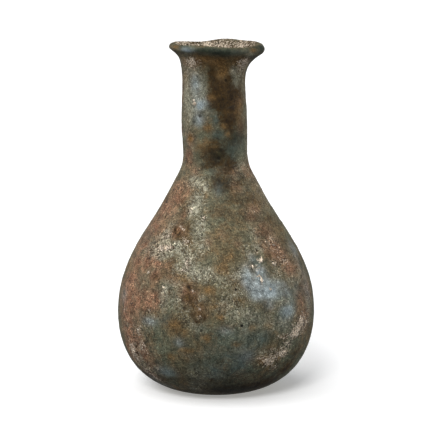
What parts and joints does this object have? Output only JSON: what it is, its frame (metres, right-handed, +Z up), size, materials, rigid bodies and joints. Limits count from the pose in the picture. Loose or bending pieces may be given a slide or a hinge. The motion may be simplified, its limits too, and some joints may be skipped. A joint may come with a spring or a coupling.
{
  "type": "ancient glass perfume flask",
  "caption": "Free-blown pear-shaped flask for perfume or oil, hollow and open, with a short leaning neck, an uneven rolled lip and a flattened foot, under burial weathering.",
  "frame": {"origin": "middle of the flask's footprint, on the surface that its foot stands on", "axes": "+Z up through the body and the mouth, +X to the right and -Y towards the viewer as the picture shows it"},
  "size_m": [0.0624, 0.0616, 0.1102],
  "materials": {
    "weathered_glass": "blue-green glass, nearly opaque under brown burial crust, pale weathering and cream lime deposit, satin to matt"
  },
  "bodies": {
    "root": {"glass_flask": "weathered_glass"}
  },
  "joints": []
}
